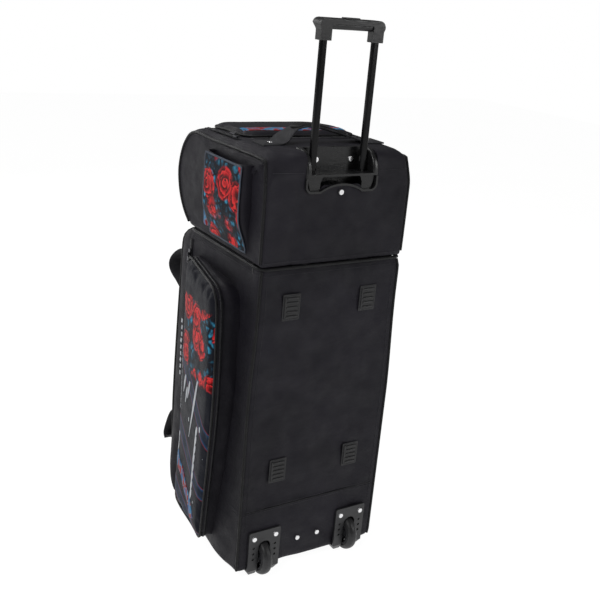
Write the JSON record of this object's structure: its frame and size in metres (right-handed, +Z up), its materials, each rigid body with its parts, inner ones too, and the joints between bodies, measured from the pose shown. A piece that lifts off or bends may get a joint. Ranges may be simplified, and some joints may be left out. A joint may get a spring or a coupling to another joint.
{
  "type": "bowling ball bag",
  "caption": "Wheeled upright ball bag with a shoe compartment on top, telescoping pull handle, zipped side pockets and a full-height front door.",
  "frame": {"origin": "on the ground under the middle of the bag's overall box", "axes": "+Z up; -Y is the front, where the ball door is; +Y is the back, with the pull handle and wheels; +X is the bag's own left"},
  "size_m": [0.4174, 0.4156, 1.095],
  "materials": {
    "black_fabric": "woven polyester, matt",
    "printed_fabric": "printed polyester",
    "moulded_plastic": "satin moulded",
    "grip_plastic": "satin grained",
    "tube_enamel": "gloss black",
    "tyre_rubber": "satin",
    "hub_plastic": "satin",
    "bright_steel": "bright",
    "rivet_steel": "nickel plated",
    "zip_metal": "black enamel",
    "webbing": "woven webbing",
    "piping": "corded binding",
    "foam": "closed-cell foam"
  },
  "bodies": {
    "case": {"back_panel_lower": "black_fabric", "back_panel_upper": "black_fabric", "lower_side_panel_left": "black_fabric", "lower_side_panel_right": "black_fabric", "upper_side_panel_left": "black_fabric", "upper_side_panel_right": "black_fabric", "base_panel": "black_fabric", "divider": "black_fabric", "top_panel": "black_fabric", "top_gusset_left": "black_fabric", "top_gusset_right": "black_fabric", "upper_front_panel": "black_fabric", "back_board": "moulded_plastic", "waist_welt": "piping", "corner_piping_left": "piping", "corner_piping_right": "piping", "base_pad": "foam", "tube_bracket": "moulded_plastic", "outer_tube_left": "tube_enamel", "outer_tube_right": "tube_enamel", "handle_bezel": "moulded_plastic", "wheel_housing_left": "moulded_plastic", "wheel_housing_right": "moulded_plastic", "axle_left": "bright_steel", "axle_right": "bright_steel", "front_foot_left": "moulded_plastic", "front_foot_right": "moulded_plastic", "grip_patches": "webbing", "rivets": "rivet_steel", "carry_strap": "webbing", "side_gusset_left": "black_fabric", "side_gusset_right": "black_fabric", "upper_pocket_left": "printed_fabric", "upper_pocket_right": "printed_fabric"},
    "pull_handle": {"inner_tube_left": "tube_enamel", "inner_tube_right": "tube_enamel", "grip": "grip_plastic"},
    "release_button": {"release_button": "grip_plastic"},
    "wheel_left": {"tyre_left": "tyre_rubber", "wheel_hub_left": "hub_plastic", "wheel_bearings_left": "bright_steel"},
    "wheel_right": {"tyre_right": "tyre_rubber", "wheel_hub_right": "hub_plastic", "wheel_bearings_right": "bright_steel"},
    "top_lid": {"top_lid": "black_fabric"},
    "front_door": {"door_gusset": "black_fabric", "door_face": "black_fabric", "door_loop_upper": "webbing", "door_loop_lower": "webbing"},
    "side_flap_left": {"side_flap_left": "printed_fabric"},
    "side_flap_right": {"side_flap_right": "printed_fabric"},
    "pocket_left_slider": {"pocket_left_slider": "zip_metal"},
    "pocket_left_tab": {"pocket_left_tab": "zip_metal"},
    "pocket_right_slider": {"pocket_right_slider": "zip_metal"},
    "pocket_right_tab": {"pocket_right_tab": "zip_metal"},
    "door_slider": {"door_slider": "zip_metal"},
    "door_tab": {"door_tab": "zip_metal"},
    "lid_slider": {"lid_slider": "zip_metal"},
    "lid_tab": {"lid_tab": "zip_metal"}
  },
  "joints": [
    {"name": "handle_slide", "type": "slide", "parent": "case", "child": "pull_handle", "axis": [0, 0, 1], "range_m": [-0.205, 0]},
    {"name": "button_press", "type": "slide", "parent": "pull_handle", "child": "release_button", "axis": [0, 0, -1], "range_m": [0, 0.003], "stiffness_N_per_m": 400, "springref_m": -0.002},
    {"name": "wheel_left_spin", "type": "hinge", "parent": "case", "child": "wheel_left", "pos_m": [0.104, 0.168, 0.04], "axis": [1, 0, 0], "continuous": true},
    {"name": "wheel_right_spin", "type": "hinge", "parent": "case", "child": "wheel_right", "pos_m": [-0.104, 0.168, 0.04], "axis": [1, 0, 0], "continuous": true},
    {"name": "lid_hinge", "type": "hinge", "parent": "case", "child": "top_lid", "pos_m": [0, 0.0395, 0.868], "axis": [-1, 0, 0], "range_deg": [0, 95]},
    {"name": "door_hinge", "type": "hinge", "parent": "case", "child": "front_door", "pos_m": [-0.1575, -0.112, 0.338], "axis": [0, 0, -1], "range_deg": [0, 100]},
    {"name": "flap_left_hinge", "type": "hinge", "parent": "case", "child": "side_flap_left", "pos_m": [0.21, 0.129, 0.33], "axis": [0, 0, 1], "range_deg": [0, 100]},
    {"name": "flap_right_hinge", "type": "hinge", "parent": "case", "child": "side_flap_right", "pos_m": [-0.21, 0.129, 0.33], "axis": [0, 0, -1], "range_deg": [0, 100]},
    {"name": "pocket_left_zip", "type": "slide", "parent": "case", "child": "pocket_left_slider", "axis": [0, 0, -1], "range_m": [0, 0.42]},
    {"name": "pocket_left_tab_swing", "type": "hinge", "parent": "pocket_left_slider", "child": "pocket_left_tab", "pos_m": [0.1632, -0.0876, 0.557], "axis": [-1, 0, 0], "range_deg": [0, 120]},
    {"name": "pocket_right_zip", "type": "slide", "parent": "case", "child": "pocket_right_slider", "axis": [0, 0, -1], "range_m": [0, 0.42]},
    {"name": "pocket_right_tab_swing", "type": "hinge", "parent": "pocket_right_slider", "child": "pocket_right_tab", "pos_m": [-0.1632, -0.0876, 0.557], "axis": [-1, 0, 0], "range_deg": [0, 120]},
    {"name": "door_zip", "type": "slide", "parent": "case", "child": "door_slider", "axis": [0, 0, -1], "range_m": [0, 0.5]},
    {"name": "door_tab_swing", "type": "hinge", "parent": "door_slider", "child": "door_tab", "pos_m": [0.1636, -0.106, 0.607], "axis": [0, -1, 0], "range_deg": [0, 120]},
    {"name": "lid_zip", "type": "slide", "parent": "case", "child": "lid_slider", "axis": [0, -1, 0], "range_m": [0, 0.125]},
    {"name": "lid_tab_swing", "type": "hinge", "parent": "lid_slider", "child": "lid_tab", "pos_m": [0.136, 0.017, 0.8726], "axis": [-1, 0, 0], "range_deg": [0, 150]}
  ]
}
